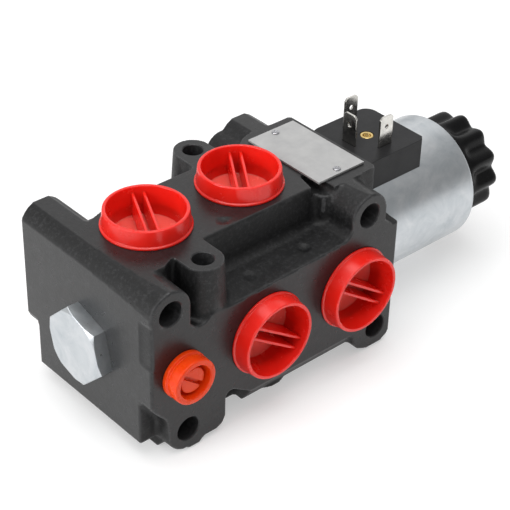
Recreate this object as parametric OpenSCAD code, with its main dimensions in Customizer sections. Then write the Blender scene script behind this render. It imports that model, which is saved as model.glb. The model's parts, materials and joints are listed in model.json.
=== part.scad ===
// Solenoid directional valve: a six-port, two-position diverter with one coil.
// Inner datum: X runs along the spool from the plug end to the coil, measured from the
// plug end face; Y runs across the body and Z is up, both measured from the spool axis.
// The part frame has its origin at the bottom centre of the whole valve.

/* [Body casting] */
// Length of the casting along the spool
body_l = 110; // [109:0.5:112]
// Width between the two side port faces
body_w = 69.2; // [68:0.2:71]
// Height of the top port face above the spool axis
top_h = 35.4; // [35:0.1:36]
// Depth of the base below the spool axis
base_h = 32.7; // [32.2:0.1:33.5]
// Half width of the top port face between the end blocks
top_half_w = 18.4; // [17.5:0.1:19]
// Half width of the top port face on the far side of the first port
far_half_w = 17; // [16.5:0.1:17.5]
// Half width of the wider block under the nameplate
head_half_w = 22.3; // [21.5:0.1:23]
// Half width of the base
base_half_w = 26.5; // [26:0.5:28]
// Half width of the narrowed plug end face
end_half_w = 28.3; // [28:0.1:29]
// Level of the ledge between the top face and the side faces
ledge_z = 19.6; // [19:0.1:20.5]
// Lower edge of the side faces
side_low_z = -22; // [-23:0.5:-21]

/* [Holes] */
// Diameter of the four cross bolt holes
cross_hole_d = 9; // [8.4:0.1:9.2]
// Distance between the cross holes along the spool
cross_pitch = 87.2; // [86.8:0.1:87.6]
// First upper cross hole from the plug end face
upper_hole_x = 8.2; // [8:0.1:8.5]
// Height of the upper cross holes
upper_hole_z = 27.1; // [26.8:0.1:27.3]
// First lower cross hole from the plug end face
lower_hole_x = 15.25; // [15:0.05:15.5]
// Height of the lower cross holes
lower_hole_z = -23.6; // [-23.8:0.1:-23.2]
// Diameter of the two vertical bolt holes
vertical_hole_d = 7.3; // [6.6:0.1:7.4]
// Distance of the vertical holes from the middle plane
vertical_hole_y = 26.5; // [26.3:0.1:26.8]

/* [Ports] */
// First top port from the plug end face
top_port_x = 25.9; // [25.5:0.1:26.3]
// First side port from the plug end face
side_port_x = 49.2; // [48.9:0.1:49.5]
// Distance between neighbouring ports
port_pitch = 40.3; // [40:0.1:40.6]
// Thread bore diameter of a work port, three-quarter inch with sixteen threads
port_thread_d = 17.5; // [17:0.1:18]
// Mouth diameter of a work port
port_mouth_d = 25; // [24.8:0.1:25.4]
// Mouth depth of a work port
port_mouth_l = 6.6; // [6.4:0.1:7]
// Drain port distance from the plug end face
drain_x = 12.9; // [12.7:0.1:13.1]
// Drain port height
drain_z = 1.5; // [1:0.1:2]

/* [Port caps] */
// Height of a cap's rim above the port face
cap_h = 6.6; // [6:0.1:7]
// Radius of the cap's foot ring
cap_foot_r = 15.5; // [15.2:0.1:15.8]
// Radius of the cap's rim
cap_rim_r = 14.4; // [14:0.1:14.6]
// Depth of the cup's floor below the port face
cap_floor = 3.6; // [3:0.1:4]
// Length of the cap's stem in the port
cap_stem = 5.4; // [5:0.1:5.8]
// Thickness of the cap's walls
cap_wall = 1.3; // [1.1:0.1:1.5]

/* [Spool and spring] */
// Spool diameter
spool_d = 16; // [15.8:0.1:16.2]
// Spool length
spool_l = 76; // [75:0.5:77]
// Shift of the spool from rest to energised
stroke = 4; // [3.5:0.1:4]
// Turns of the return spring
spring_turns = 6; // [5:1:7]
// Wire diameter of the return spring
wire_d = 1.5; // [1.3:0.1:1.6]
// Width across the flats of the end plug
plug_hex = 25.4; // [24.5:0.1:26]
// Height of the end plug's head
plug_head_l = 5.4; // [5:0.1:6]

/* [Solenoid] */
// Outer diameter of the coil
coil_d = 48.9; // [48.5:0.1:49.2]
// Length of the coil
coil_l = 51.9; // [51.5:0.1:52.3]
// Outer diameter of the armature tube
tube_d = 19; // [18.8:0.1:19.2]
// Height of the connector base above the spool axis
connector_z = 31.1; // [30.8:0.1:31.4]
// Side length of the square connector base
connector_w = 30; // [29.6:0.1:30.4]
// Distance from the coil's body end to the connector centre
connector_offset = 16.2; // [16:0.1:16.4]
// Height of the contact blades above the connector base
blade_h = 12; // [11.5:0.1:12.6]
// Width of the contact blades
blade_w = 6.3; // [6.2:0.1:6.4]
// Length of the knob nut
nut_l = 17; // [16.5:0.1:17.5]
// Radius of the nut over its lobes
nut_r = 20; // [19.6:0.1:20.2]
// Number of lobes around the nut
nut_lobes = 12; // [10:1:16]

/* [Nameplate] */
// Length of the nameplate across the body
plate_l = 36.5; // [36:0.1:37]
// Width of the nameplate along the body
plate_w = 21.6; // [21:0.1:22]
// Thickness of the nameplate
plate_t = 0.8; // [0.6:0.1:1]

/* [Hidden] */

// Curves are drawn with this many steps.
$fn = 64;
// Overlap that joins neighbouring primitives of one casting.
weld = 0.5;
// Running clearance on a radius.
gap = 0.05;

half_w = body_w / 2;
coil_r = coil_d / 2;
coil_x = body_l + 1.5;
coil_end = coil_x + coil_l;
tube_r = tube_d / 2;
spool_r = spool_d / 2;
connector_x = coil_x + connector_offset;
front_seal_t = 2.2;
nut_x = coil_end + front_seal_t;
nut_end = nut_x + nut_l;
x_mid = (nut_end - plug_head_l) / 2;

// Bosses around the cross holes taper from the middle of the body to the side faces.
boss_r = 8.9;
boss_face_r = 8.2;
// Height of the flange's shoulders at the coil end.
flange_z = 16.6;
far_x = upper_hole_x + cross_pitch;
low_far_x = lower_hole_x + cross_pitch;

// Vertical bolt bosses: the near one stands beside the first top port, the far one opposite.
pillar_r = 7;
near_pillar_x = side_port_x - 21.4;
far_pillar_x = near_pillar_x + 39.8;

// Places along the spool bore.
plug_thread_l = 14;
plug_bore_r = 11;
chamber_l = 24;
chamber_r = 9.4;
spool_x = 22;
spool_end = spool_x + spool_l;
tube_thread_l = 11.5;
tube_thread_r = 10;
tube_x = body_l - tube_thread_l;
pole_end = 134;
armature_x = pole_end + stroke + 0.2;
armature_l = 29.4;
armature_end = armature_x + armature_l;
tube_inner_end = armature_end + 0.4;
nut_thread_x = coil_end + 0.6;
tube_end = nut_x + 10.4;
gallery_r = 4.5;
gallery_shift = 4.2;

// Places a shape from the inner datum in the part frame.
module placed() {
    translate([-x_mid, 0, base_h]) children();
}

// Turns a shape drawn along +Z so that it runs along +X.
module along_x(x) {
    translate([x, 0, 0]) rotate([0, 90, 0]) children();
}

// A round bar along X from x to x + l.
module rod(x, l, r) {
    along_x(x) cylinder(h = l, r = r);
}

// Extrudes an outline drawn in X and Z across the body, from y0 to y1.
module across(y0, y1) {
    translate([0, y1, 0]) rotate([90, 0, 0]) linear_extrude(y1 - y0) children();
}

// A boss that runs right across the body around a cross hole, tapered on its near half.
module cross_boss(x, z, far_r = boss_r) {
    translate([x, 0, z]) rotate([90, 0, 0]) cylinder(h = half_w, r1 = boss_r, r2 = boss_face_r);
    translate([x, 0, z]) rotate([-90, 0, 0]) cylinder(h = half_w, r1 = boss_r, r2 = far_r);
}

// A through hole across the body.
module cross_hole(x, z) {
    translate([x, half_w + 1, z]) rotate([90, 0, 0]) cylinder(h = body_w + 2, d = cross_hole_d);
}

// Puts a shape whose +Z points out of the port on the top face.
module on_top(x) {
    translate([x, 0, top_h]) children();
}

// Puts a shape whose +Z points out of the port on a side face: side -1 near, +1 far.
module on_side(x, z, side) {
    translate([x, side * half_w, z]) rotate([-side * 90, 0, 0]) children();
}

// The hollow of one work port: mouth, thread, and gallery down to the spool bore.
module port_hollow(shift) {
    translate([0, 0, -port_mouth_l]) cylinder(h = port_mouth_l + 1, d = port_mouth_d);
    translate([0, 0, -18]) cylinder(h = 18, d = port_thread_d);
    translate([shift, 0, -half_w]) cylinder(h = half_w - 12, r = gallery_r);
}

module port_hollows() {
    for (i = [0, 1]) {
        on_top(top_port_x + i * port_pitch) port_hollow(0);
        on_side(side_port_x + i * port_pitch, 0, -1) port_hollow(-gallery_shift);
        on_side(side_port_x + i * port_pitch, 0, 1) port_hollow(gallery_shift);
    }
}

// Outline of the side port faces in X and Z; the round ears of the cross holes are added to it.
function side_outline() = [
    [0.5, upper_hole_z], [0.4, -8.7], [3.3, -12.2], [5.6, -14.6], [6.6, -16.4], [6.9, -18.6],
    [lower_hole_x - boss_face_r, lower_hole_z],
    [lower_hole_x, lower_hole_z], [lower_hole_x, 0.4 - base_h], [20, 0.1 - base_h],
    [22.3, 2 - base_h], [28.3, 2.2 - base_h], [30.4, 3.4 - base_h], [31.7, 6 - base_h],
    [31.7, -18.6], [32.8, -17.3], [35, -17.3], [38, -19.3], [42.3, side_low_z],
    [90.4, side_low_z], [91.8, -27], [94.4, -30.2], [98.4, -31.9], [106, -31.9],
    [body_l - 1.1, -30.3], [body_l, -28.4], [body_l, flange_z], [far_x + boss_face_r, 22.2],
    [far_x + boss_face_r, upper_hole_z], [far_x, upper_hole_z], [far_x - boss_face_r, upper_hole_z],
    [far_x - boss_face_r, 24.4], [86.5, 22.4], [84.9, 21.2], [76.9, 20.5], [60, 19.9],
    [36.5, 19], [28, 18.7], [28, 18], [upper_hole_x + boss_face_r, 18],
    [upper_hole_x + boss_face_r, upper_hole_z]];

// Cross-section of the body between its end blocks, in Y and Z.
function core_half() = [
    [0, top_h], [top_half_w - 0.6, top_h], [top_half_w, top_h - 0.8], [top_half_w + 0.6, ledge_z + 2.6],
    [top_half_w + 2.6, ledge_z + 0.9], [half_w, ledge_z - 0.6], [half_w, side_low_z],
    [half_w - 1.2, side_low_z - 1.6], [base_half_w, -base_h], [0, -base_h]];

// A closed outline made of a half outline and its mirror image.
function both_halves(half) = concat(half, [for (i = [len(half) - 1:-1:0]) [-half[i][0], half[i][1]]]);

// Extrudes an outline drawn in Y and Z along the spool.
module run(x0, x1) {
    translate([x0, 0, 0]) rotate([90, 0, 90]) linear_extrude(x1 - x0) children();
}

// The end block around the plug: a tall plate with narrowed lower flanks and a rounded top. Its near
// edge is set back a little from the level of the bore upwards.
module plug_block() {
    flank = [[0, 0.5 - half_w], [0.5, -half_w], [upper_hole_x, -half_w],
             [upper_hole_x, half_w], [0.5, half_w], [0, half_w - 0.5]];
    set_back = [[-1, -half_w - 1], [0.9, -half_w - 1], [0.75, 0.6 - end_half_w - 1.2],
                [0, -end_half_w - 0.4], [-1, -end_half_w - 0.4]];
    difference() {
        translate([0, 0, -7.6]) linear_extrude(upper_hole_z + 7.6) polygon(flank);
        translate([0, 0, 8.4]) linear_extrude(upper_hole_z) polygon(set_back);
    }
    translate([0, -end_half_w, -26.3]) cube([12, 2 * end_half_w, 21]);
    intersection() {
        cross_boss(upper_hole_x, upper_hole_z);
        translate([0, -half_w, 0]) cube([30, body_w, top_h]);
    }
}

// The wider block at the coil end that carries the nameplate.
module head_block() {
    corner = [for (a = [180:15:270]) [89 + 4.6 * cos(a), 0.2 - top_half_w + 4.6 * sin(a)]];
    outline = concat([[82, -top_half_w]], corner, [[94, -head_half_w - 0.6],
               [body_l - 1, -head_half_w], [body_l, -head_half_w + 1], [body_l, head_half_w - 1],
               [body_l - 1, head_half_w], [89, head_half_w], [86, head_half_w - 1], [82, top_half_w]]);
    translate([0, 0, 10]) linear_extrude(top_h - 10) polygon(outline);
    run(body_l - 8, body_l) polygon(both_halves([
        [0, flange_z], [half_w, flange_z], [half_w, side_low_z], [base_half_w, -29], [0, -29]]));
}

// The wider stretch of the top face beside the first top port.
module first_port_block() {
    outline = [[upper_hole_x, -top_half_w - 4], [15.8, -top_half_w - 4], [17.6, -top_half_w - 3],
               [20.4, -top_half_w - 1.8], [24, -top_half_w], [24, 0], [upper_hole_x, 0]];
    translate([0, 0, 8]) linear_extrude(top_h - 8) polygon(outline);
}

// What the top face lacks on its far side, between the first bar and the far bolt boss.
module far_notch() {
    outline = [[upper_hole_x - 1, 40], [upper_hole_x - 1, 14.8], [11.2, 14.5], [12, 13.4],
               [18.7, 15.5], [24, far_half_w], [60, far_half_w], [60, 40]];
    translate([0, 0, ledge_z]) linear_extrude(top_h) polygon(outline);
}

// The round shoulder beside the far end of the second bar.
module far_shoulder() {
    translate([far_x - 8.4, half_w, upper_hole_z - 1.8]) rotate([90, 0, 0])
        cylinder(h = half_w - far_half_w + 2, r = 7);
}

// The swelling in the foot of each flank below the first side port.
module foot_swelling() {
    for (s = [-1, 1]) intersection() {
        translate([60.3, s * 19.2, -base_h]) cylinder(h = base_h + side_low_z, r = 9);
        translate([50, -half_w, -base_h]) cube([20, body_w, 12]);
    }
}

// A boss around a vertical bolt hole with the web that ties it to the top face.
module pillar(x, side, foot_z) {
    translate([x, side * vertical_hole_y, foot_z]) cylinder(h = top_h - foot_z, r = pillar_r);
    translate([x, side * vertical_hole_y, ledge_z - 3])
        cylinder(h = top_h - ledge_z + 3, r1 = half_w - vertical_hole_y, r2 = pillar_r);
    translate([x - pillar_r, side > 0 ? 0 : -vertical_hole_y, 10])
        cube([2 * pillar_r, vertical_hole_y, top_h - 10]);
}

module body_solid() {
    difference() {
        run(upper_hole_x, body_l) polygon(both_halves(core_half()));
        far_notch();
    }
    plug_block();
    first_port_block();
    head_block();
    far_shoulder();
    foot_swelling();
    intersection() {
        union() {
            across(-half_w, half_w) polygon(side_outline());
            cross_boss(far_x, upper_hole_z);
            cross_boss(lower_hole_x, lower_hole_z, boss_face_r);
        }
        translate([0, -half_w, -base_h]) cube([body_l, body_w, base_h + top_h]);
    }
}

// The pocket beside each end of the first bar, the hollow under the nameplate's corner, and the notch
// in each lower flank behind the first lower ear.
module casting_hollows() {
    pocket_r = 4.2;
    notch = [[31.7, -base_h - 1], [31.7, -18.6], [32.8, -17.3], [35, -17.3], [38, -19.3],
             [42.3, side_low_z], [44.4, -24.5], [46, -base_h - 1]];
    across(-half_w - 1, -22.9) polygon(notch);
    across(22.9, half_w + 1) polygon(notch);
    for (s = [-1, 1]) translate([upper_hole_x + boss_face_r + pocket_r, 0, 21.2]) {
        rotate([s * 90, 0, 0]) translate([0, 0, 22]) cylinder(h = 14, r = pocket_r);
        translate([-pocket_r, s > 0 ? 22 : -36, 0]) cube([2 * pocket_r, 14, 20]);
    }
    translate([0, 0, top_h - 3]) linear_extrude(4)
        polygon([[84.8, -10.3], [82.9, -18], [82.5, -26], [89.5, -26], [89.5, -10.3]]);
}

// Shallow round and lozenge marks left by the mould.
module mould_marks() {
    translate([46.8, -14.4, top_h - 0.6]) scale(1) linear_extrude(1)
        polygon([[-3.4, 0], [0.6, -2.6], [3.6, 0], [-0.6, 2.6]]);
    for (x = [47.5, 72]) translate([x, -27, ledge_z + 0.2]) difference() {
        translate([0, 0, -0.9]) cylinder(h = 3, r = 1.9);
        translate([0, 0, -1.4]) cylinder(h = 1.1, r = 1.1);
    }
}

module valve_body() {
    color([0.27, 0.27, 0.28]) placed() difference() {
        union() {
            difference() {
                body_solid();
                casting_hollows();
            }
            pillar(near_pillar_x, -1, 2.2 - base_h);
            pillar(far_pillar_x, 1, side_low_z);
        }
        mould_marks();
        for (x = [upper_hole_x, far_x]) cross_hole(x, upper_hole_z);
        for (x = [lower_hole_x, low_far_x]) cross_hole(x, lower_hole_z);
        translate([near_pillar_x, -vertical_hole_y, -base_h - 1])
            cylinder(h = base_h + top_h + 2, d = vertical_hole_d);
        translate([far_pillar_x, vertical_hole_y, -base_h - 1])
            cylinder(h = base_h + top_h + 2, d = vertical_hole_d);
        port_hollows();
        on_side(drain_x, drain_z, -1) translate([0, 0, -3]) cylinder(h = 4, r = 6.6);
        on_side(drain_x, drain_z, -1) translate([0, 0, -24]) cylinder(h = 24, r = 4.9);
        rod(-1, body_l + 2, spool_r + gap);
        rod(-1, plug_thread_l + 2, plug_bore_r);
        rod(0, chamber_l, chamber_r);
        rod(tube_x - 0.5, tube_thread_l + 1, tube_thread_r);
    }
}

// A rubber ring of round section around the X axis.
module seal_ring(x, r, section_r) {
    along_x(x) rotate_extrude() translate([r, 0]) circle(r = section_r);
}

module end_plug() {
    color([0.72, 0.75, 0.78]) placed() difference() {
        union() {
            intersection() {
                along_x(-plug_head_l) rotate([0, 0, -14.3])
                    cylinder(h = plug_head_l, r = plug_hex / sqrt(3), $fn = 6);
                along_x(-plug_head_l)
                    cylinder(h = plug_head_l, r1 = plug_hex / 2 + 1.2, r2 = plug_hex / 2 + 10.5);
            }
            rod(-0.2, plug_thread_l + 0.2, plug_bore_r - 0.1);
        }
        along_x(0.9) difference() {
            cylinder(h = 2.5, r = plug_bore_r + 1);
            translate([0, 0, -1]) cylinder(h = 5, r = 8.5);
        }
        rod(4.8, plug_thread_l, 7.2);
    }
}

module end_plug_seal() {
    color([0.1, 0.1, 0.1]) placed() seal_ring(2.15, 9.7, 1.18);
}

// Points of one ring of the spring wire at turn angle a.
function wire_ring(a, x, r) = [for (k = [0:7])
    let (b = k * 45, rr = r + wire_d / 2 * cos(b))
        [x + wire_d / 2 * sin(b), rr * cos(a), rr * sin(a)]];

// A closed helical wire around the X axis.
module spring(x0, x1, r, turns) {
    per_turn = 14;
    n = turns * per_turn;
    points = [for (i = [0:n]) each wire_ring(i * 360 / per_turn, x0 + (x1 - x0) * i / n, r)];
    sides = [for (i = [0:n - 1], k = [0:7])
        [i * 8 + k, i * 8 + (k + 1) % 8, (i + 1) * 8 + (k + 1) % 8, (i + 1) * 8 + k]];
    caps = [[for (k = [7:-1:0]) k], [for (k = [0:7]) n * 8 + k]];
    polyhedron(points, concat(sides, caps), convexity = 6);
}

module return_spring() {
    color([0.6, 0.6, 0.62]) placed()
        spring(4.8 + wire_d / 2 + 0.05, spool_x - 1.6 - wire_d / 2 - 0.05, 5.9, spring_turns);
}

module spring_guide() {
    color([0.66, 0.67, 0.7]) placed() difference() {
        union() {
            rod(spool_x - 1.6, 1.6, 7.6);
            rod(spool_x - 6, 5, 4.4);
        }
        rod(spool_x - 7, 8, 1.5);
    }
}

// The spool: two long oil grooves and narrow balancing grooves.
module spool() {
    color([0.78, 0.79, 0.81]) placed() difference() {
        rod(spool_x, spool_l, spool_r);
        for (x = [top_port_x + 8, top_port_x + 8 + port_pitch]) along_x(x - 9) difference() {
            cylinder(h = 18, r = spool_r + 1);
            translate([0, 0, -1]) cylinder(h = 20, r = 5);
        }
        for (x = [24, 47.5, 52, 60.5, 87.5, 92]) along_x(x) difference() {
            cylinder(h = 0.6, r = spool_r + 1);
            translate([0, 0, -1]) cylinder(h = 3, r = spool_r - 0.6);
        }
        rod(spool_x - 1, 6, 1.5);
    }
}

module push_pin() {
    color([0.82, 0.83, 0.85]) placed() rod(spool_end, armature_x - spool_end, 1.55);
}

module armature() {
    color([0.7, 0.71, 0.73]) placed() difference() {
        rod(armature_x, armature_l, tube_r - 1.5 - gap);
        for (s = [-1, 1])
            translate([armature_x - 1, s * (tube_r - 1.6) - 0.75, -0.75]) cube([armature_l + 2, 1.5, 1.5]);
    }
}

module armature_tube() {
    color([0.74, 0.75, 0.77]) placed() difference() {
        union() {
            rod(tube_x, tube_thread_l + weld, tube_thread_r - 0.05);
            rod(body_l, 1.3, 12.5);
            rod(body_l + 1, nut_thread_x - body_l - 1, tube_r);
            rod(nut_thread_x - weld, tube_end - nut_thread_x + weld, tube_r - 0.5);
        }
        rod(body_l + 1, tube_inner_end - body_l - 1, tube_r - 1.5);
        rod(tube_x - 1, 20, 1.65);
        rod(tube_inner_end - 1, 2.4, 3.5);
        rod(tube_inner_end, 20, 2.45);
        along_x(tube_x + 2) difference() {
            cylinder(h = 2.3, r = tube_thread_r + 1);
            translate([0, 0, -1]) cylinder(h = 5, r = 8);
        }
    }
}

module pole_piece() {
    color([0.68, 0.69, 0.71]) placed() difference() {
        rod(body_l + 1.05, pole_end - body_l - 1.05, tube_r - 1.52);
        rod(body_l, pole_end, 1.65);
    }
}

module tube_seal() {
    color([0.1, 0.1, 0.1]) placed() seal_ring(tube_x + 3.15, 9, 0.95);
}

// A straight ring around the X axis.
module ring(x, l, r_out, r_in) {
    along_x(x) difference() {
        cylinder(h = l, r = r_out);
        translate([0, 0, -1]) cylinder(h = l + 2, r = r_in);
    }
}

module coil_can() {
    color([0.72, 0.75, 0.79]) placed() difference() {
        union() {
            ring(coil_x, 3, coil_r, tube_r + gap);
            ring(coil_x + 2.5, coil_l - 3, coil_r, coil_r - 2);
            ring(coil_end - 0.8, 0.8, coil_r, coil_r - 3.2);
        }
        translate([connector_x - 9, -9, 0]) cube([18, 18, coil_r + 2]);
    }
}

module coil_end_plate() {
    color([0.7, 0.73, 0.77]) placed() ring(coil_end - 3, 2.2, coil_r - 2, tube_r + gap);
}

module coil_bobbin() {
    color([0.13, 0.13, 0.13]) placed() difference() {
        union() {
            ring(coil_x + 3, coil_l - 6, 12.2, tube_r + gap);
            for (x = [coil_x + 3, coil_end - 5.2]) ring(x, 2.2, coil_r - 2.1, 11.8);
        }
        rod(coil_x, coil_l, tube_r + gap);
    }
}

module coil_winding() {
    color([0.66, 0.32, 0.14]) placed() ring(coil_x + 5.2, coil_l - 10.4, 17.9, 12.2);
}

module coil_rear_seal() {
    color([0.08, 0.08, 0.08]) placed() ring(body_l, 1.4, 18, 14);
}

module coil_front_seal() {
    color([0.06, 0.06, 0.06]) placed() ring(coil_end + 0.1, front_seal_t - 0.1, 19.2, tube_r + gap);
}

// Outline of the connector base seen from above, with its corners rounded or cut.
module connector_outline(w) {
    h = w / 2;
    big = 4.5;
    small = 1.6;
    polygon(concat(
        [[-h, -h + small], [-h + small, -h], [h - small, -h], [h, -h + small]],
        [for (a = [0:15:90]) [h - big + big * cos(a), h - big + big * sin(a)]],
        [for (a = [90:15:180]) [-h + big + big * cos(a), h - big + big * sin(a)]]));
}

module connector_base() {
    color([0.12, 0.12, 0.13]) placed() difference() {
        union() {
            difference() {
                translate([connector_x, 0, 10])
                    linear_extrude(connector_z - 10) connector_outline(connector_w);
                rod(coil_x - 5, coil_l, coil_r + gap);
            }
            translate([connector_x - 8.5, -8.5, 18.2]) cube([17, 17, 9]);
        }
        translate([connector_x, 0, connector_z - 7]) cylinder(h = 8, r = 2.6);
        for (s = [-1, 1])
            translate([connector_x - blade_w / 2 - gap, s * 9 - 0.5, connector_z - 3])
                cube([blade_w + 2 * gap, 1, 4]);
        translate([connector_x - 9.5, -blade_w / 2 - gap, connector_z - 3]) cube([1, blade_w + 2 * gap, 4]);
    }
}

// A flat contact blade in the Y and Z plane with a round tip and an eyelet.
module blade() {
    tip_z = blade_h - blade_w / 2;
    rotate([90, 0, 90]) translate([0, 0, -0.4]) linear_extrude(0.8) difference() {
        union() {
            translate([-blade_w / 2, -2.8]) square([blade_w, tip_z + 2.8]);
            intersection() {
                translate([0, tip_z]) circle(r = blade_w / 2 + 0.6);
                translate([-blade_w / 2, 0]) square([blade_w, blade_h]);
            }
        }
        translate([0, tip_z - 1.2]) circle(r = 0.9);
    }
}

module contact_pin(side) {
    color([0.78, 0.77, 0.74]) placed()
        translate([connector_x, side * 9, connector_z]) rotate([0, 0, 90]) blade();
}

module contact_pin_1() { contact_pin(-1); }

module contact_pin_2() { contact_pin(1); }

module ground_pin() {
    color([0.78, 0.77, 0.74]) placed() translate([connector_x - 9, 0, connector_z]) blade();
}

module insert_bush() {
    color([0.8, 0.62, 0.26]) placed() translate([connector_x, 0, connector_z - 7]) difference() {
        cylinder(h = 6.9, r = 2.55);
        translate([0, 0, -1]) cylinder(h = 9, r = 1.25);
        translate([-0.4, -3, 5.9]) cube([0.8, 6, 2]);
    }
}

// Outline of the nut: round lobes with hollows between them.
module nut_outline() {
    valley_r = nut_r - 2.4;
    steps = 8;
    polygon([for (i = [0:nut_lobes * steps - 1])
        let (a = i * 360 / (nut_lobes * steps),
             r = valley_r + (nut_r - valley_r) * pow((1 + cos(nut_lobes * a)) / 2, 0.9))
            [r * cos(a), r * sin(a)]]);
}

module coil_nut() {
    color([0.07, 0.07, 0.07]) placed() along_x(nut_x) difference() {
        intersection() {
            linear_extrude(nut_l) nut_outline();
            union() {
                cylinder(h = nut_l - 1.2, r = nut_r + 1);
                translate([0, 0, nut_l - 1.2]) cylinder(h = 1.2, r1 = nut_r + 0.2, r2 = nut_r - 1);
            }
        }
        translate([0, 0, -1]) cylinder(h = 12, r = tube_r - 0.5 + gap);
        translate([0, 0, -1]) cylinder(h = nut_l + 2, r = 6);
        translate([0, 0, nut_l - 2]) cylinder(h = 3, r = 12.5);
    }
}

module override_pin() {
    color([0.8, 0.66, 0.34]) placed() difference() {
        union() {
            rod(armature_end + 0.05, 1.6, 3.4);
            rod(armature_end + 1, nut_end - 3.5 - armature_end - 1, 2.4);
        }
        ring(tube_end - 4, 1.6, 3, 1.7);
    }
}

module override_seal() {
    color([0.1, 0.1, 0.1]) placed() seal_ring(tube_end - 3.2, 2.07, 0.34);
}

// A moulded cup that plugs a work port, with two grip ribs turned to an angle.
module port_cap(rib_angle) {
    floor_r = 11;
    rib_offset = 1.93;
    rib_t = 1.1;
    color([0.86, 0.1, 0.07]) difference() {
        union() {
            translate([0, 0, -cap_stem]) cylinder(h = cap_stem + weld, r1 = port_mouth_d / 2 - 0.6, r2 = port_mouth_d / 2 - 0.1);
            translate([0, 0, 0.05]) cylinder(h = 1.05, r = cap_foot_r);
            translate([0, 0, 1]) cylinder(h = cap_h - 1, r1 = cap_foot_r - 0.5, r2 = cap_rim_r);
        }
        difference() {
            translate([0, 0, -cap_floor]) cylinder(h = cap_h + cap_floor + 0.01, r1 = floor_r, r2 = cap_rim_r - cap_wall);
            rotate([0, 0, rib_angle]) for (s = [-1, 1])
                translate([-cap_rim_r, s * rib_offset - rib_t / 2, -cap_floor - 1])
                    cube([2 * cap_rim_r, rib_t, cap_h + cap_floor - 1]);
        }
    }
}

module top_cap_1() { placed() on_top(top_port_x) port_cap(63.5); }

module top_cap_2() { placed() on_top(top_port_x + port_pitch) port_cap(56); }

module near_cap_1() { placed() on_side(side_port_x, 0, -1) port_cap(-35); }

module near_cap_2() { placed() on_side(side_port_x + port_pitch, 0, -1) port_cap(-35.5); }

module far_cap_1() { placed() on_side(side_port_x, 0, 1) port_cap(52); }

module far_cap_2() { placed() on_side(side_port_x + port_pitch, 0, 1) port_cap(20); }

module drain_cap() {
    color([0.96, 0.36, 0.12]) placed() on_side(drain_x, drain_z, -1) difference() {
        union() {
            translate([0, 0, -2.6]) cylinder(h = 3.2, r = 6.5);
            translate([0, 0, -9]) cylinder(h = 7, r = 4.7);
            translate([0, 0, 0.05]) cylinder(h = 1.4, r = 8.6);
            translate([0, 0, 1]) cylinder(h = 3, r = 7.5);
            translate([0, 0, 3.4]) cylinder(h = cap_h - 3.4, r = 8.4);
        }
        difference() {
            translate([0, 0, 1]) cylinder(h = cap_h, r = 5.6);
            difference() {
                cylinder(h = cap_h - 1.6, r = 4.5);
                rotate([0, 0, -40]) translate([-6, -0.7, cap_h - 3.4]) cube([12, 1.4, 4]);
            }
        }
    }
}

module plate_pin_places() {
    for (s = [-1, 1]) translate([97, s * 15.8, top_h]) children();
}

module nameplate() {
    color([0.82, 0.82, 0.81]) placed() difference() {
        translate([97 - plate_w / 2, -plate_l / 2, top_h + 0.02]) cube([plate_w, plate_l, plate_t]);
        plate_pin_places() cylinder(h = 3, r = 1);
    }
}

module nameplate_pins() {
    color([0.75, 0.75, 0.75]) placed() plate_pin_places() {
        translate([0, 0, 0.02]) cylinder(h = plate_t + 0.1, r = 0.95);
        translate([0, 0, plate_t + 0.03]) intersection() {
            translate([0, 0, -1.2]) sphere(r = 1.9);
            translate([-2, -2, 0]) cube([4, 4, 2]);
        }
    }
}

valve_body();
end_plug();
end_plug_seal();
return_spring();
spring_guide();
spool();
push_pin();
armature();
armature_tube();
pole_piece();
tube_seal();
coil_can();
coil_end_plate();
coil_bobbin();
coil_winding();
coil_rear_seal();
coil_front_seal();
connector_base();
contact_pin_1();
contact_pin_2();
ground_pin();
insert_bush();
coil_nut();
override_pin();
override_seal();
top_cap_1();
top_cap_2();
near_cap_1();
near_cap_2();
far_cap_1();
far_cap_2();
drain_cap();
nameplate();
nameplate_pins();
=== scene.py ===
import bpy
import bmesh
import json
import math
import numpy as np
from mathutils import Matrix, Vector


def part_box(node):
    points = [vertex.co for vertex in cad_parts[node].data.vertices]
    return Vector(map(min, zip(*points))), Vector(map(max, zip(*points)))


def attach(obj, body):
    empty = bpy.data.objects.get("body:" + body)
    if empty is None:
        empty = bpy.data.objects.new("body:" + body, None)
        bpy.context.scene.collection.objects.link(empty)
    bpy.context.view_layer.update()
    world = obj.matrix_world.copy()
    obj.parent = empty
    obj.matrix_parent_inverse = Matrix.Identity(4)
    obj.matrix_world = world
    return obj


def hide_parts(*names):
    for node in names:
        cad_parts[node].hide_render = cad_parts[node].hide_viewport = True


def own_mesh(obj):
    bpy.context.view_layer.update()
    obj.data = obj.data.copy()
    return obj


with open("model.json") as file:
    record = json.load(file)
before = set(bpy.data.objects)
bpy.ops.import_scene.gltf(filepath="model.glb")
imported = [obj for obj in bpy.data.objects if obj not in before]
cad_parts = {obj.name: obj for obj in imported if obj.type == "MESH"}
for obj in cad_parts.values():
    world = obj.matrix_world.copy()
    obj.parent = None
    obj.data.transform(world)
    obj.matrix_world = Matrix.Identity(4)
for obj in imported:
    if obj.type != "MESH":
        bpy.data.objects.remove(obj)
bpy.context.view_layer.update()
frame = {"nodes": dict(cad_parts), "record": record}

MM = 0.001
# The valve's own datum, in mm: x from the plug's end face, y and z from the spool's axis.
DATUM_X = 88.6
DATUM_Z = 32.7
BODY_LOW, BODY_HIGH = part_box("valve_body")
# Machined planes of the casting: (axis, place in metres)
MILLED = [(0, BODY_LOW[0]), (0, BODY_HIGH[0]), (1, BODY_LOW[1]), (1, BODY_HIGH[1]), (2, BODY_HIGH[2])]
BASE_PLANE = (2, BODY_LOW[2])
CUP_DEPTH = 3.5
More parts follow.
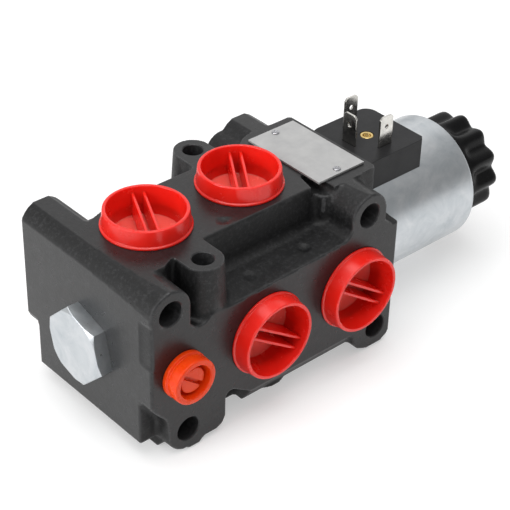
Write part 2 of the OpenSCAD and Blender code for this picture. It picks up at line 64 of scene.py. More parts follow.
# Planes of the port cups' floors, which lie this deep under the machined port faces.
CUP_FLOORS = [(1, BODY_LOW[1] + CUP_DEPTH * MM), (1, BODY_HIGH[1] - CUP_DEPTH * MM),
              (2, BODY_HIGH[2] - CUP_DEPTH * MM)]
NODES = frame["nodes"]
MOUNTS = {m["name"]: m for m in frame["record"]["mounts"]}
BODY_OF = {n: b for b, names in frame["record"]["behaviour"]["bodies"].items() for n in names}
SLOT_OF = {s["node"]: s["material_slot"] for s in frame["record"]["subparts"]}


# ---------------------------------------------------------------- materials
class Shade:
    """A node material under construction: one Principled shader and its textures."""

    def __init__(self, name):
        self.mat = bpy.data.materials.new(name)
        self.mat.use_nodes = True
        self.tree = self.mat.node_tree
        self.bsdf = self.tree.nodes["Principled BSDF"]
        self.coords = self.tree.nodes.new("ShaderNodeTexCoord").outputs["Object"]

    def set(self, **values):
        for key, value in values.items():
            self.bsdf.inputs[key.replace("_", " ")].default_value = value

    def link(self, out, socket):
        self.tree.links.new(out, socket)

    def noise(self, scale, detail=4.0, rough=0.55, stretch=(1, 1, 1), distort=0.0):
        n = self.tree.nodes.new("ShaderNodeTexNoise")
        n.inputs["Scale"].default_value = scale
        n.inputs["Detail"].default_value = detail
        n.inputs["Roughness"].default_value = rough
        n.inputs["Distortion"].default_value = distort
        self.link(self.stretched(stretch), n.inputs["Vector"])
        return n.outputs["Fac"]

    def stretched(self, stretch):
        if stretch == (1, 1, 1):
            return self.coords
        m = self.tree.nodes.new("ShaderNodeMapping")
        m.inputs["Scale"].default_value = stretch
        self.link(self.coords, m.inputs["Vector"])
        return m.outputs["Vector"]

    def ramp(self, fac, stops):
        """stops: (position, value or colour)."""
        r = self.tree.nodes.new("ShaderNodeValToRGB")
        while len(r.color_ramp.elements) < len(stops):
            r.color_ramp.elements.new(0.5)
        for e, (pos, col) in zip(r.color_ramp.elements, stops):
            e.position = pos
            e.color = (*col, 1.0) if isinstance(col, tuple) else (col, col, col, 1.0)
        self.link(fac, r.inputs["Fac"])
        return r.outputs["Color"]

    def math(self, kind, a, b):
        m = self.tree.nodes.new("ShaderNodeMath")
        m.operation = kind
        for socket, v in zip(m.inputs, (a, b)):
            if isinstance(v, (int, float)):
                socket.default_value = v
            else:
                self.link(v, socket)
        return m.outputs["Value"]

    def mix(self, fac, a, b):
        """Mixes two colours, sockets or constants, by a factor."""
        m = self.tree.nodes.new("ShaderNodeMix")
        m.data_type = "RGBA"
        for socket, v in ((m.inputs[0], fac), (m.inputs[6], a), (m.inputs[7], b)):
            if hasattr(v, "links"):
                self.link(v, socket)
            else:
                socket.default_value = v
        return m.outputs[2]

    def bump(self, heights):
        """heights: (socket, depth in mm, strength); they stack."""
        normal = None
        for out, depth, strength in heights:
            b = self.tree.nodes.new("ShaderNodeBump")
            if hasattr(strength, "links"):
                self.link(strength, b.inputs["Strength"])
            else:
                b.inputs["Strength"].default_value = strength
            b.inputs["Distance"].default_value = depth * MM
            self.link(out, b.inputs["Height"])
            if normal:
                self.link(normal, b.inputs["Normal"])
            normal = b.outputs["Normal"]
        self.link(normal, self.bsdf.inputs["Normal"])

    def spot(self):
        """The three object coordinates."""
        split = self.tree.nodes.new("ShaderNodeSeparateXYZ")
        self.link(self.coords, split.inputs[0])
        return split.outputs

    def on_planes(self, planes, full, gone):
        """1 within full mm of any of the planes, and 0 from gone mm on."""
        spot = self.spot()
        mask = None
        for axis, value in planes:
            gap = self.math("ABSOLUTE", self.math("SUBTRACT", spot[axis], value), 0)
            near = self.ramp(self.math("MULTIPLY", gap, 1 / MM), [(full, 1.0), (gone, 0.0)])
            mask = near if mask is None else self.math("MAXIMUM", mask, near)
        return mask

    def colour(self, out):
        self.link(out, self.bsdf.inputs["Base Color"])

    def rough(self, out):
        self.link(out, self.bsdf.inputs["Roughness"])


def cast_paint():
    """Black paint over iron: mottled and grainy on the cast skin, smoother and greyer on machined faces, with
    painted shade low down where the skin turns under, and lighter convex edges that are part paint wear and
    part painted highlight.
    """
    s = Shade("cast_paint")
    milled = s.on_planes(MILLED, 0.25, 0.55)
    grain = s.noise(950, 5, 0.7)
    blotch = s.noise(110, 6, 0.65)
    speck = s.noise(750, 4, 0.7)
    cast = s.ramp(blotch, [(0.25, (0.0025, 0.0025, 0.0027)), (0.75, (0.0065, 0.0065, 0.0068))])
    cast = s.mix(s.ramp(speck, [(0.50, 0.0), (0.66, 0.9)]), cast, (0.021, 0.021, 0.022, 1))
    smooth_face = s.ramp(blotch, [(0.25, (0.0085, 0.0085, 0.0088)), (0.75, (0.0145, 0.0145, 0.0150))])
    smooth_face = s.mix(s.ramp(speck, [(0.5, 0.0), (0.68, 0.6)]), smooth_face, (0.026, 0.026, 0.027, 1))
    # Painted shade: the cast skin is painted near black low down, where it turns under into shadow: fully
    # below 10.5 mm, not at all above 11 mm.
    painted_underside_shade = s.ramp(s.math("MULTIPLY", s.spot()[2], 25.0), [(0.262, 1.0), (0.275, 0.0)])
    cast = s.mix(painted_underside_shade, cast, (0.0015, 0.0015, 0.0016, 1))
    base = s.mix(milled, cast, smooth_face)
    # Convex edges get a lighter colour: partly paint rubbed off, partly a painted highlight where rounded
    # edges catch the light.
    edge = s.tree.nodes.new("ShaderNodeNewGeometry").outputs["Pointiness"]
    edge_wear_and_highlight = s.math("MULTIPLY", s.ramp(edge, [(0.515, 0.0), (0.575, 1.0)]),
                  s.ramp(speck, [(0.3, 0.25), (0.7, 0.7)]))
    s.colour(s.mix(edge_wear_and_highlight, base, (0.080, 0.080, 0.083, 1)))
    s.rough(s.mix(milled, s.ramp(s.noise(420, 4, 0.6), [(0.25, 0.44), (0.8, 0.60)]),
                  s.ramp(s.noise(260, 4, 0.6), [(0.25, 0.25), (0.8, 0.36)])))
    depth = s.math("SUBTRACT", 0.85, s.math("MULTIPLY", milled, 0.6))
    s.bump([(s.noise(170, 3, 0.5), 0.16, 0.35), (grain, 0.16, depth)])
    s.set(Specular_IOR_Level=0.36)
    return s.mat


def zinc():
    """Zinc plate: pale blue-grey metal with soft clouding and a fine grain."""
    s = Shade("zinc_plate")
    cloud = s.ramp(s.noise(95, 6, 0.7, distort=0.6),
                   [(0.32, (0.44, 0.475, 0.50)), (0.68, (0.62, 0.635, 0.65))])
    streak = s.ramp(s.noise(60, 5, 0.7, (0.35, 1, 1)), [(0.45, 0.0), (0.7, 0.5)])
    s.colour(s.mix(streak, cloud, (0.50, 0.535, 0.56, 1)))
    s.rough(s.ramp(s.noise(300, 5, 0.6), [(0.25, 0.27), (0.8, 0.40)]))
    s.set(Metallic=1.0)
    s.bump([(s.noise(900, 3, 0.6), 0.02, 0.35), (s.noise(60, 2, 0.5), 0.15, 0.12)])
    return s.mat


def plastic(name, colour, dark, rough=(0.28, 0.38), grain=(1400, 0.02, 0.3), subsurface=0.0, gloss=0.38,
            painted_sheen=None):
    """Moulded plastic with faint colour variation and a fine skin. The last argument, if given: planes, and a
    paler colour painted on them as painted light, for sheen and for light shining through thin floors.
    """
    s = Shade(name)
    shade = s.ramp(s.noise(70, 3, 0.5), [(0.3, dark), (0.7, colour)])
    if painted_sheen:
        planes, sheen_colour = painted_sheen
        # Painted light: a paler colour near the given planes, for sheen and for light shining through thin
        # floors.
        shade = s.mix(s.on_planes(planes, 0.12, 0.30), shade, (*sheen_colour, 1))
    s.colour(shade)
    s.rough(s.ramp(s.noise(260, 3, 0.5), [(0.3, rough[0]), (0.75, rough[1])]))
    s.bump([(s.noise(grain[0], 2, 0.5), grain[1], grain[2])])
    s.set(Specular_IOR_Level=gloss)
    if subsurface:
        s.set(Subsurface_Weight=subsurface, Subsurface_Scale=0.003)
        s.bsdf.inputs["Subsurface Radius"].default_value = (1.0, 0.25, 0.15)
    return s.mat


def bright_metal(name, low, high, rough=(0.18, 0.32), stretch=(1, 1, 1)):
    """Bare or nickel-plated metal with drawn marks."""
    s = Shade(name)
    s.colour(s.ramp(s.noise(250, 4, 0.6), [(0.3, low), (0.7, high)]))
    s.rough(s.ramp(s.noise(700, 3, 0.6, stretch), [(0.3, rough[0]), (0.75, rough[1])]))
    s.set(Metallic=1.0)
    s.bump([(s.noise(1500, 2, 0.5, stretch), 0.01, 0.3)])
    return s.mat


def anodised():
    """Matt silver nameplate stock with a very fine brushed grain."""
    s = Shade("anodised_plate")
    s.colour(s.ramp(s.noise(180, 4, 0.6), [(0.3, (0.385, 0.385, 0.385)), (0.7, (0.45, 0.45, 0.445))]))
    s.rough(s.ramp(s.noise(900, 3, 0.6, (1, 0.04, 1)), [(0.3, 0.42), (0.75, 0.55)]))
    s.set(Metallic=0.35)
    s.bump([(s.noise(1600, 2, 0.5, (1, 0.03, 1)), 0.008, 0.3)])
    return s.mat


MATERIALS = {
    "cast_body": cast_paint(),
    "zinc_steel": zinc(),
    "bright_steel": bright_metal("ground_steel", (0.60, 0.60, 0.61), (0.72, 0.72, 0.73)),
    "spring_steel": bright_metal("spring_wire", (0.34, 0.34, 0.36), (0.46, 0.46, 0.48)),
    "black_rubber": plastic("nitrile_rubber", (0.016, 0.016, 0.016), (0.011, 0.011, 0.011), (0.5, 0.62)),
    "black_nylon": plastic("black_nylon", (0.0135, 0.0135, 0.0145), (0.008, 0.008, 0.009), (0.32, 0.44),
                           (1300, 0.05, 0.5), gloss=0.20),
    "knob_nylon": plastic("knob_nylon", (0.0030, 0.0030, 0.0033), (0.002, 0.002, 0.0022), (0.24, 0.34),
                          gloss=0.16),
    "copper": bright_metal("winding_copper", (0.55, 0.22, 0.09), (0.72, 0.34, 0.16), (0.25, 0.4), (30, 1, 1)),
    "tinned_brass": bright_metal("nickel_blades", (0.55, 0.54, 0.51), (0.78, 0.76, 0.72), (0.14, 0.28)),
    "brass": bright_metal("turned_brass", (0.62, 0.44, 0.16), (0.82, 0.62, 0.28), (0.2, 0.35)),
    # The cups' floors are painted paler than their walls: painted light, for the sheen on them and the light
    # shining through them.
    "red_cap": plastic("red_polyethylene", (0.80, 0.018, 0.010), (0.70, 0.013, 0.007), (0.20, 0.30),
                       (500, 0.03, 0.25), 0.6, 0.5, (CUP_FLOORS, (0.80, 0.115, 0.090))),
    "orange_cap": plastic("orange_polyethylene", (0.80, 0.058, 0.003), (0.70, 0.040, 0.002), (0.24, 0.36),
                          (500, 0.03, 0.25), 0.3, 0.25),
    "plate": anodised(),
}

for name, node in NODES.items():
    if not node.material_slots:
        node.data.materials.append(None)
    for material_slot in node.material_slots:
        material_slot.material = MATERIALS[SLOT_OF[name]]


# ---------------------------------------------------------------- mesh tools
def new_object(name, mesh):
    obj = bpy.data.objects.new(name, mesh)
    bpy.context.scene.collection.objects.link(obj)
    return obj


def from_lists(name, verts, faces):
    mesh = bpy.data.meshes.new(name)
    mesh.from_pydata([tuple(c * MM for c in v) for v in verts], [], faces)
    return mesh


def rounded(corners, steps=4, closed=False):
    """Corners (a, b, radius) of an outline in order; returns its points with each corner filleted."""
    out = []
    count = len(corners)
    for i, (a, b, radius) in enumerate(corners):
        if radius == 0 or (not closed and i in (0, count - 1)):
            out.append((a, b))
            continue
        here = Vector((a, b))
        before = Vector(corners[i - 1][:2]) - here
        after = Vector(corners[(i + 1) % count][:2]) - here
        half = before.angle(after) / 2
        reach = min(radius / math.tan(half), before.length * 0.49, after.length * 0.49)
        start, end = here + before.normalized() * reach, here + after.normalized() * reach
        for k in range(steps + 1):
            t = k / steps
            out.append(tuple(start.lerp(here, t).lerp(here.lerp(end, t), t)))
    return out


def lathe(profile, segments=96, closed=False):
    """Vertices and faces of a profile of (radius, height) points turned round Z."""
    verts, rings = [], []
    for r, z in profile:
        start = len(verts)
        if r < 1e-6:
            verts.append((0, 0, z))
            rings.append([start])
        else:
            turns = [2 * math.pi * k / segments for k in range(segments)]
            verts += [(r * math.cos(a), r * math.sin(a), z) for a in turns]
            rings.append(list(range(start, start + segments)))
    if closed:
        rings.append(rings[0])
    faces = []
    for low, high in zip(rings, rings[1:]):
        for i in range(segments):
            j = (i + 1) % segments
            ring = [low[i % len(low)], low[j % len(low)], high[j % len(high)], high[i % len(high)]]
            face = list(dict.fromkeys(ring))
            if len(face) > 2:
                faces.append(face)
    return verts, faces


def block(corners, z0, z1):
    """Vertices and faces of an outline extruded from z0 to z1."""
    n = len(corners)
    verts = [(x, y, z0) for x, y in corners] + [(x, y, z1) for x, y in corners]
    faces = [list(range(n - 1, -1, -1)), list(range(n, 2 * n))]
    faces += [[i, (i + 1) % n, n + (i + 1) % n, n + i] for i in range(n)]
    return verts, faces


def bake_modifiers(obj):
    bpy.context.view_layer.update()
    shown = obj.evaluated_get(bpy.context.evaluated_depsgraph_get())
    mesh = bpy.data.meshes.new_from_object(shown)
    obj.modifiers.clear()
    obj.data = mesh


def boolean(obj, tool, operation="DIFFERENCE"):
    m = obj.modifiers.new("boolean", "BOOLEAN")
    m.solver = "MANIFOLD"
    m.operation = operation
    m.object = tool
    bake_modifiers(obj)
    bpy.data.objects.remove(tool)


def merged(parts, name):
    """One object out of several solids, joined where they meet."""
    first = new_object(name, parts[0])
    for mesh in parts[1:]:
        boolean(first, new_object(name + "_part", mesh), "UNION")
    return first


def bevel(obj, width, segments, angle):
    m = obj.modifiers.new("bevel", "BEVEL")
    m.limit_method = "ANGLE"
    m.angle_limit = math.radians(angle)
    m.width = width * MM
    m.segments = segments
    bake_modifiers(obj)


def smooth(obj, angle):
    """Smooth shading, except across edges sharper than the angle."""
    obj.data.polygons.foreach_set("use_smooth", [True] * len(obj.data.polygons))
    obj.data.set_sharp_from_angle(angle=math.radians(angle))
    m = obj.modifiers.new("even_normals", "WEIGHTED_NORMAL")
    m.keep_sharp = True


def piece(obj, *nodes):
    """obj stands for these nodes, on their body, with their finish."""
    slot = SLOT_OF[nodes[0]]
    obj.data.materials.clear()
    obj.data.materials.append(MATERIALS[slot])
    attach(obj, BODY_OF[nodes[0]])
    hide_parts(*nodes)
    return obj


def place(mesh, matrix):
    mesh.transform(matrix)
    mesh.update()
    return mesh


def at(x, y, z):
    """A place in the valve's own datum (plug end face, spool axis), in mm, as a matrix."""
    return Matrix.Translation(Vector(((x - DATUM_X) * MM, y * MM, (z + DATUM_Z) * MM)))


ALONG_X = Matrix.Rotation(math.pi / 2, 4, "Y")
ACROSS = Matrix.Rotation(math.pi / 2, 4, "X")


def port_frame(mount):
    """Local frame of a port: its origin on the port face and +Z out of the port."""
    m = MOUNTS[mount]
    axis = Vector(m["axis"])
    turn = 0 if axis.z > 0.5 else -math.copysign(math.pi / 2, axis.y)
    return Matrix.Translation(Vector(m["pos_m"])) @ Matrix.Rotation(turn, 4, "X")


def welded_copy(node, name):
    """A copy of a CAD node's mesh with its seams welded and its flat faces made whole."""
    mesh = NODES[node].data.copy()
    bm = bmesh.new()
    bm.from_mesh(mesh)
    bmesh.ops.remove_doubles(bm, verts=bm.verts, dist=2e-6)
    bmesh.ops.dissolve_limit(bm, angle_limit=math.radians(0.6), verts=bm.verts, edges=bm.edges)
    bm.to_mesh(mesh)
    bm.free()
    return new_object(name, mesh)


def softened(node, width, segments=2, angle=32):
    """A CAD node with its hard edges rounded."""
    obj = welded_copy(node, node + "_soft")
    bevel(obj, width, segments, angle)
    smooth(obj, 40)
    return piece(obj, node)


# ---------------------------------------------------------------- the casting
BORE_EDGE = 0.35
FACE_Y = 34.6
TOP_Z = 35.4
# Holes across the body (x, z), and bolt holes down through the pillars (x, y, lower end).
CROSS_HOLE_R = 4.5
CROSS_HOLES = [(8.2, 27.1), (95.4, 27.1), (15.25, -23.6), (102.45, -23.6)]
PILLAR_HOLE_R = 3.65
PILLARS = [(27.8, -26.5, -30.5), (67.6, 26.5, -32.7)]
WORK_PORTS = ["port_top_1", "port_top_2", "port_near_1", "port_near_2", "port_far_1", "port_far_2"]
WORK_PORT = {"mouth_r": 12.5, "mouth_l": 6.6, "bore_r": 8.75, "depth": 18, "pitch": 1.6}
DRAIN_PORT = {"mouth_r": 6.6, "mouth_l": 3, "bore_r": 4.9, "depth": 14, "pitch": 1.2}
# The hollow along the spool's axis, as (radius, x), flared where it breaks through the body's ends.
SPOOL_LINE = [(0, -3), (14.4, -3), (11, 0.4), (11, 15), (9.4, 15), (9.4, 24), (8.05, 24), (8.05, 98),
              (10, 98), (10, 109.6), (13.4, 113), (0, 113)]
TURNS = 72


def hole(matrix, radius, start, end):
    """A cylinder along local Z with a flare at each end that breaks the hole's edges."""
    flare = radius + BORE_EDGE + 4
    profile = [(0, start - 4), (flare, start - 4), (radius, start + BORE_EDGE), (radius, end - BORE_EDGE),
               (flare, end + 4), (0, end + 4)]
    return place(from_lists("hole", *lathe(profile, TURNS)), matrix)


def threaded_port(matrix, mouth_r, mouth_l, bore_r, depth, pitch):
    """The hollow of a port: a mouth with a broken edge, thread grooves and a blind end."""
    profile = [(0, 4), (mouth_r + 4.4, 4), (mouth_r, -0.4), (mouth_r, -mouth_l), (bore_r + 1.2, -mouth_l)]
    root_r = bore_r + pitch * 0.42
    z = -mouth_l - 1.2
    while z - pitch > 1.5 - depth:
        profile += [(bore_r, z), (bore_r, z - pitch * 0.2), (root_r, z - pitch * 0.55),
                    (root_r, z - pitch * 0.65)]
        z -= pitch
    profile += [(bore_r, z), (bore_r, -depth), (0, -depth)]
    return place(from_lists("port", *lathe(profile[::-1], TURNS)), matrix)


def filling(matrix, radius, start, end):
    """A rod along local Z, a little wider than the hole it fills."""
    radius += 0.5
    profile = [(0, start), (radius, start), (radius, end), (0, end)]
    return place(from_lists("filling", *lathe(profile, 48)), matrix)


def relax(mesh, general, fillet):
    """Rounds a dense mesh as a sand mould does: a little everywhere, and more in its inner corners.
    What lies on a machined plane stays on it, so those faces keep their crisp outlines."""
    count = len(mesh.vertices)
    v = np.empty(count * 3)
    mesh.vertices.foreach_get("co", v)
    v = v.reshape(-1, 3)
    e = np.empty(len(mesh.edges) * 2, dtype=np.int64)
    mesh.edges.foreach_get("vertices", e)
    a, b = e.reshape(-1, 2).T
    ends = np.concatenate([a, b])
    others = np.concatenate([b, a])
    valence = np.maximum(np.bincount(ends, minlength=count), 1)

    def average(field):
        return np.stack([np.bincount(ends, weights=field[others, k], minlength=count)
                         for k in range(field.shape[1])], axis=1) / valence[:, None]

    planes = [(axis, value, np.abs(v[:, axis] - value) < 0.12 * MM)
              for axis, value in MILLED + [BASE_PLANE]]

    def settle(weight):
        nonlocal v
        v = v + 0.5 * weight * (average(v) - v)
        for axis, value, on_plane in planes:
            v[on_plane, axis] = value

    for _ in range(general):
        settle(1.0)
    mesh.vertices.foreach_set("co", v.ravel())
    mesh.update()
    normals = np.empty(count * 3)
    mesh.vertices.foreach_get("normal", normals)
    normals = normals.reshape(-1, 3)
    bend = ((average(v) - v) * normals).sum(axis=1)
    inner = np.clip(bend / 3.0e-5 - 0.35, 0, 1)[:, None]
    for _ in range(3):
        inner = np.maximum(inner, average(inner))
    inner = np.clip(average(inner) * 1.4, 0, 1)
    for _ in range(fillet):
        settle(inner)
    mesh.vertices.foreach_set("co", v.ravel())
    mesh.update()


def cast_body():
    """The CAD body with its holes filled, remeshed and relaxed into a sand casting, then cut again."""
    parts = [NODES["valve_body"].data.copy()]
    for x, z in CROSS_HOLES:
        parts.append(filling(at(x, 0, z) @ ACROSS, CROSS_HOLE_R, -FACE_Y, FACE_Y))
    for x, y, foot in PILLARS:
        low = foot if y < 0 else -26
        parts.append(filling(at(x, y, 0), PILLAR_HOLE_R, low, TOP_Z))
    for name in WORK_PORTS:
        parts.append(filling(port_frame(name), WORK_PORT["mouth_r"], -17, 0))
    parts.append(filling(port_frame("port_drain"), DRAIN_PORT["mouth_r"], -20, 0))
    bm = bmesh.new()
    for mesh in parts:
        bm.from_mesh(mesh)
    bmesh.ops.remove_doubles(bm, verts=bm.verts, dist=2e-6)
    mesh = bpy.data.meshes.new("cast_body")
    bm.to_mesh(mesh)
    bm.free()
    body = new_object("cast_body", mesh)
    voxels = body.modifiers.new("voxels", "REMESH")
    voxels.mode = "VOXEL"
    voxels.voxel_size = 0.45 * MM
    bake_modifiers(body)
    relax(body.data, 3, 36)

    cutters = [hole(at(x, 0, z) @ ACROSS, CROSS_HOLE_R, -FACE_Y, FACE_Y) for x, z in CROSS_HOLES]
    cutters += [hole(at(x, y, 0), PILLAR_HOLE_R, foot, TOP_Z) for x, y, foot in PILLARS]
    cutters += [threaded_port(port_frame(name), **WORK_PORT) for name in WORK_PORTS]
    cutters.append(threaded_port(port_frame("port_drain"), **DRAIN_PORT))
    cutters.append(place(from_lists("spool_line", *lathe(SPOOL_LINE, TURNS)), at(0, 0, 0) @ ALONG_X))
    for cutter in cutters:
        boolean(body, new_object("cutter", cutter))
    smooth(body, 42)
    return piece(body, "valve_body")


# ---------------------------------------------------------------- moulded caps
RIB_ANGLES = {"top_cap_1": 63.5, "top_cap_2": 56, "near_cap_1": -35, "near_cap_2": -35.5,
              "far_cap_1": 52, "far_cap_2": 20}


RIB_OFFSET = 1.93
RIB_HALF_T = 0.5
RIB_FOOT_Z = -4.2
RIB_TOP_Z = 4.5


def cap_rib():
    """One grip rib: a bar across the cup, longer at its top, as the wall opens."""
    t = RIB_HALF_T
    section = rounded([(-t - 0.15, RIB_FOOT_Z, 0), (t + 0.15, RIB_FOOT_Z, 0), (t, RIB_TOP_Z, 0.35),
                       (-t, RIB_TOP_Z, 0.35)], 3, True)
    foot, top = 11.6, 13.2
    outline = [(y, z, foot + (top - foot) * (z - RIB_FOOT_Z) / (RIB_TOP_Z - RIB_FOOT_Z)) for y, z in section]
    n = len(outline)
    verts = [(-x, y, z) for y, z, x in outline] + [(x, y, z) for y, z, x in outline]
    faces = [list(range(n)), list(range(2 * n - 1, n - 1, -1))]
    faces += [[(i + 1) % n, i, n + i, n + (i + 1) % n] for i in range(n)]
    return from_lists("rib", verts, faces)


def port_cap(node, angle):
    """A thin cup with a foot ring, a rounded rim, a wall that opens outwards and two grip ribs."""
    wall = rounded([(0, -5.4, 0), (11.9, -5.4, 0.6), (12.35, 0.05, 0), (15.5, 0.05, 0.25), (15.5, 0.75, 0.3),
                    (14.95, 1.1, 0.3), (14.4, 6.6, 0.45), (13.25, 6.6, 0.4), (11.55, -CUP_DEPTH, 0.25),
                    (0, -CUP_DEPTH, 0)], 4)
    parts = [from_lists("wall", *lathe(wall, 112))]
    turn = Matrix.Rotation(math.radians(angle), 4, "Z")
    for side in (-1, 1):
        aside = Matrix.Translation((0, side * RIB_OFFSET * MM, 0))
        parts.append(place(cap_rib(), turn @ aside))
    cap = merged(parts, node + "_moulded")
    place(cap.data, port_frame("port_" + node.replace("_cap", "")))
    smooth(cap, 38)
    return piece(cap, node)


def drain_cap():
    """The small slotted plug cap: a rim and a centre post around a groove, and a neck above its foot."""
    profile = rounded([(0, -9, 0), (4.5, -9, 0.5), (4.7, -2.6, 0), (6.4, -2.6, 0.2), (6.5, 0.05, 0),
                       (8.6, 0.05, 0.3), (8.6, 1.7, 0.5), (7.9, 2.1, 0.3), (7.9, 2.7, 0.3), (8.45, 3.1, 0.4),
                       (8.3, 6.6, 0.6), (6.3, 6.6, 0.5), (5.7, 2.2, 0.3), (4.9, 2.2, 0.2), (4.7, 5.1, 0.5),
                       (0, 5.2, 0)], 4)
    cap = new_object("drain_cap_moulded", from_lists("drain", *lathe(profile, 80)))
    slot = from_lists("slot", *block([(-5.2, -0.75), (5.2, -0.75), (5.2, 0.75), (-5.2, 0.75)], 3.5, 6.0))
    boolean(cap, new_object("slot", place(slot, Matrix.Rotation(math.radians(-40), 4, "Z"))))
    place(cap.data, port_frame("port_drain"))
    smooth(cap, 38)
    return piece(cap, "drain_cap")


# ---------------------------------------------------------------- solenoid
COIL_X = 111.5
COIL_L = 51.9
NUT_X = 165.6
NUT_L = 17.0
NUT_LOBES = 12


def coil_shell():
    """The can with a softly rounded front edge and a rolled lip at its far end."""
    r = 24.45
    lip = COIL_L - 0.9
    profile = rounded([(9.6, 0, 0.3), (r, 0, 0.7), (r, COIL_L, 1.5), (21.6, COIL_L, 0.5), (21.4, lip, 0.2),
                       (22.3, lip, 0), (22.3, 3, 0), (9.6, 3, 0.2)], 6, True)
    can = new_object("coil_shell", from_lists("can", *lathe(profile, 160, True)))
    place(can.data, at(COIL_X, 0, 0) @ ALONG_X)
    smooth(can, 30)
    return piece(can, "coil_can")


def knob_nut():
    """The lobed nut: each lobe fades into a plain collar towards the coil and rounds over at its end."""
    peak, valley, collar = 20.0, 17.5, 19.5
    # Outside, as (height, how far it is drawn in, how much of the lobes shows).
    rows = [(0.0, 0.7, 0.0), (0.15, 0.25, 0.0), (0.6, 0.0, 0.0), (2.2, 0.0, 0.0), (3.2, 0.0, 0.12),
            (4.2, 0.0, 0.40), (5.4, 0.0, 0.78), (6.8, 0.0, 0.97), (9.0, 0.0, 1.0), (13.0, 0.0, 1.0),
            (14.6, 0.1, 1.0), (15.6, 0.4, 1.0), (16.3, 0.9, 1.0), (16.8, 1.6, 1.0), (NUT_L, 2.6, 1.0)]
    # End face and bore, as (radius, height).
    inside = [(12.9, NUT_L), (12.5, NUT_L - 0.4), (12.5, NUT_L - 2), (6.4, NUT_L - 2), (6.0, NUT_L - 2.4),
              (6.0, 11), (9.05, 11), (9.05, 0)]
    steps = NUT_LOBES * 14
    angles = [2 * math.pi * k / steps for k in range(steps)]
    verts = []
    for z, inset, lobed in rows:
        for a in angles:
            wave = (0.5 + 0.5 * math.cos(NUT_LOBES * a)) ** 0.85
            lobe = valley + (peak - valley) * wave
            r = collar + (lobe - collar) * lobed - inset
            verts.append((r * math.cos(a), r * math.sin(a), z))
    for r, z in inside:
        verts += [(r * math.cos(a), r * math.sin(a), z) for a in angles]
    levels = len(rows) + len(inside)
    faces = []
    for level in range(levels):
        a, b = level * steps, (level + 1) % levels * steps
        for k in range(steps):
            j = (k + 1) % steps
            faces.append([a + k, a + j, b + j, b + k])
    nut = new_object("knob_nut", from_lists("nut", verts, faces))
    place(nut.data, at(NUT_X, 0, 0) @ ALONG_X)
    smooth(nut, 50)
    return piece(nut, "coil_nut")


def bush():
    """The brass insert for the connector's screw: a chamfered ring with thread grooves in its bore."""
    low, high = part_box("insert_bush")
    length = (high[2] - low[2]) / MM
    bore_r, groove_r = 1.25, 1.42
    profile = [(bore_r, 0), (2.45, 0), (2.55, 0.1), (2.55, length - 0.25), (2.3, length), (1.65, length),
               (1.45, length - 0.25)]
    profile += [(bore_r if k % 2 else groove_r, length - 0.45 - 0.25 * k) for k in range(20)]
    ring = new_object("threaded_bush", from_lists("bush", *lathe(profile, 48, True)))
    place(ring.data, Matrix.Translation(((low[0] + high[0]) / 2, (low[1] + high[1]) / 2, low[2])))
    smooth(ring, 40)
    return piece(ring, "insert_bush")


# ---------------------------------------------------------------- plug, spring and plate pins
HEX_TURN = -14.3
PLATE_PIN_X = 97
PLATE_PIN_Y = 15.8
PLATE_TOP_Z = 36.22


def hex_plug():
    """The bore plug: a chamfered hexagon head, and the shank with its seal groove behind it."""
    flat, head, chamfer_r, slope = 12.7, 5.4, 13.05, math.tan(math.radians(30))
    r = flat / math.cos(math.pi / 6)
    side = 14
    steps = 6 * side
    outline = []
    for k in range(steps):
        corner, t = divmod(k, side)
        a, b = math.radians(60 * corner), math.radians(60 * corner + 60)
        t /= side
        outline.append(((1 - t) * r * math.cos(a) + t * r * math.cos(b),
                        (1 - t) * r * math.sin(a) + t * r * math.sin(b)))
    radii = [math.hypot(*p) for p in outline]

    def ring(z, scale, limit=99.0, dip=0.0):
        """The hexagon at height z, scaled, cut to a circle of radius limit, and dipping at its corners."""
        out = []
        for (px, py), r in zip(outline, radii):
            k = min(scale, limit / r)
            out.append((px * k, py * k, z + dip * max(0.0, r * k - chamfer_r) * slope))
        return out

    rows = [ring(0, 1.0), ring(0.35 - head, 1.0, dip=1), ring(0.12 - head, 0.994, dip=1),
            ring(-head, 0.985, chamfer_r, 1), ring(-head, 0.97, chamfer_r - 0.25), ring(-head, 0.5)]
    shank = [(10.9, 0.0), (10.9, 0.9), (8.5, 0.9), (8.5, 3.4), (10.9, 3.4), (10.9, 13.4), (10.3, 14.0),
             (7.2, 14.0), (7.2, 4.8)]
    verts = [v for row in rows for v in row] + [(0, 0, -head)]
    faces = []
    for level in range(len(rows) - 1):
        for k in range(steps):
            j = (k + 1) % steps
            lo, hi = level * steps, (level + 1) * steps
            faces.append([lo + j, lo + k, hi + k, hi + j])
    last, tip = (len(rows) - 1) * steps, len(rows) * steps
    faces += [[last + (k + 1) % steps, last + k, tip] for k in range(steps)]
    start = len(verts)
    for r, z in shank:
        verts += [(r * px / q, r * py / q, z) for (px, py), q in zip(outline, radii)]
    rings = [0] + [start + i * steps for i in range(len(shank))]
    for lo, hi in zip(rings, rings[1:]):
        faces += [[lo + k, lo + (k + 1) % steps, hi + (k + 1) % steps, hi + k] for k in range(steps)]
    verts.append((0, 0, shank[-1][1]))
    faces += [[rings[-1] + k, rings[-1] + (k + 1) % steps, len(verts) - 1] for k in range(steps)]
    plug = new_object("hex_plug", from_lists("plug", verts, faces))
    turn = Matrix.Rotation(math.radians(HEX_TURN), 4, "Z")
    place(plug.data, at(0, 0, 0) @ ALONG_X @ turn)
    smooth(plug, 28)
    return piece(plug, "end_plug")


def spring():
    """The return spring: a welded copy of the CAD coil, smooth shaded, on the body of its node."""
    coil = welded_copy("return_spring", "return_spring_wire")
    smooth(coil, 60)
    piece(coil, "return_spring")
    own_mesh(coil)


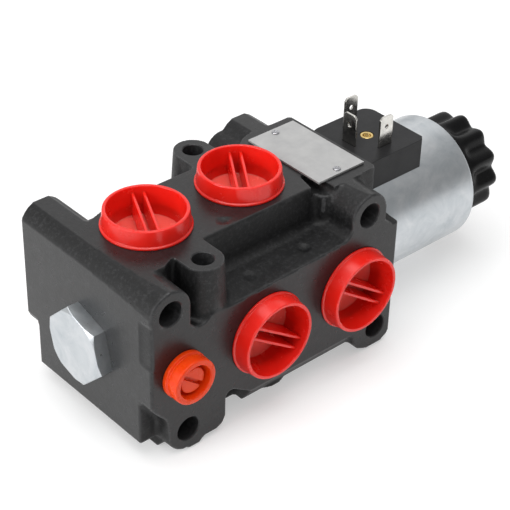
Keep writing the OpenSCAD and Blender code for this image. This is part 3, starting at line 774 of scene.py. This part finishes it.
def drive_pins():
    """The two pins that hold the nameplate, with domed heads."""
    profile = rounded([(0.55, -1.6, 0), (0.9, -0.8, 0), (1.05, 0.02, 0), (1.46, 0.02, 0.1),
                       (1.35, 0.42, 0.25), (0.5, 0.68, 0.3), (0.42, 0.5, 0), (0, 0.45, 0)], 3)
    verts, faces = lathe([(0, -1.6)] + profile, 32)
    meshes = [place(from_lists("pin", verts, faces), at(PLATE_PIN_X, y, PLATE_TOP_Z))
              for y in (-PLATE_PIN_Y, PLATE_PIN_Y)]
    both = merged(meshes, "drive_pins")
    smooth(both, 35)
    piece(both, "nameplate_pins")
    both.data.materials[0] = MATERIALS["spring_steel"]
    return both


# ---------------------------------------------------------------- assembly
cast_body()
hex_plug()
drive_pins()
for cap_name, rib_angle in RIB_ANGLES.items():
    port_cap(cap_name, rib_angle)
drain_cap()
coil_shell()
knob_nut()
softened("connector_base", 0.5, 3, 40)
softened("nameplate", 0.12, 2)
for blade in ("contact_pin_1", "contact_pin_2", "ground_pin"):
    softened(blade, 0.12, 2)
bush()
spring()


# ---------------------------------------------------------------- stage
def make_floor():
    size = 6.0
    mesh = bpy.data.meshes.new("floor")
    corners = [(-size, -size, 0), (size, -size, 0), (size, size, 0), (-size, size, 0)]
    mesh.from_pydata(corners, [], [(0, 1, 2, 3)])
    s = Shade("pale_floor")
    s.colour(s.ramp(s.noise(3, 2, 0.5), [(0.3, (0.60, 0.60, 0.60)), (0.7, (0.62, 0.62, 0.62))]))
    s.set(Roughness=0.8, Specular_IOR_Level=0.2, Emission_Color=(1, 1, 1, 1), Emission_Strength=0.42)
    mesh.materials.append(s.mat)
    new_object("floor", mesh)


def area_light(name, spot, target, size, power):
    data = bpy.data.lights.new(name, "AREA")
    data.shape = "RECTANGLE"
    data.size, data.size_y = size
    data.energy = power
    light = new_object(name, data)
    light.location = spot
    light.rotation_euler = (Vector(target) - Vector(spot)).to_track_quat("-Z", "Y").to_euler()


def make_sky():
    """White all round, and darker towards the near side (-Y)."""
    world = bpy.data.worlds.new("studio")
    world.use_nodes = True
    nodes, links = world.node_tree.nodes, world.node_tree.links
    split = nodes.new("ShaderNodeSeparateXYZ")
    links.new(nodes.new("ShaderNodeTexCoord").outputs["Generated"], split.inputs[0])
    half = nodes.new("ShaderNodeMath")
    half.operation = "MULTIPLY_ADD"
    half.inputs[1].default_value = 0.5
    half.inputs[2].default_value = 0.5
    links.new(split.outputs[1], half.inputs[0])
    fade = nodes.new("ShaderNodeValToRGB")
    for stop, (position, grey) in zip(fade.color_ramp.elements, ((0.10, 0.55), (0.55, 1.0))):
        stop.position = position
        stop.color = (grey, grey, grey, 1)
    links.new(half.outputs[0], fade.inputs[0])
    links.new(fade.outputs["Color"], nodes["Background"].inputs["Color"])
    nodes["Background"].inputs["Strength"].default_value = 0.62
    bpy.context.scene.world = world


def make_camera():
    data = bpy.data.cameras.new("camera")
    data.lens = 112.9
    data.sensor_width = 36.0
    data.clip_start = 0.01
    camera = new_object("camera", data)
    camera.location = (-0.3286, -0.3437, 0.3604)
    camera.rotation_euler = [math.radians(a) for a in (54.988, -1.371, -41.490)]
    bpy.context.scene.camera = camera


make_floor()
area_light("key", (-0.15, -0.1, 1.1), (0, 0, 0), (1.0, 1.0), 8.5)
area_light("back_panel", (0.62, 0.62, 0.55), (0.0, 0.0, 0.05), (1.0, 0.7), 1.0)
area_light("left_fill", (-0.95, 0.1, 0.45), (-0.05, 0, 0.03), (0.5, 0.6), 5)
make_sky()
make_camera()
bpy.context.scene.view_settings.view_transform = "Standard"

bpy.context.view_layer.update()
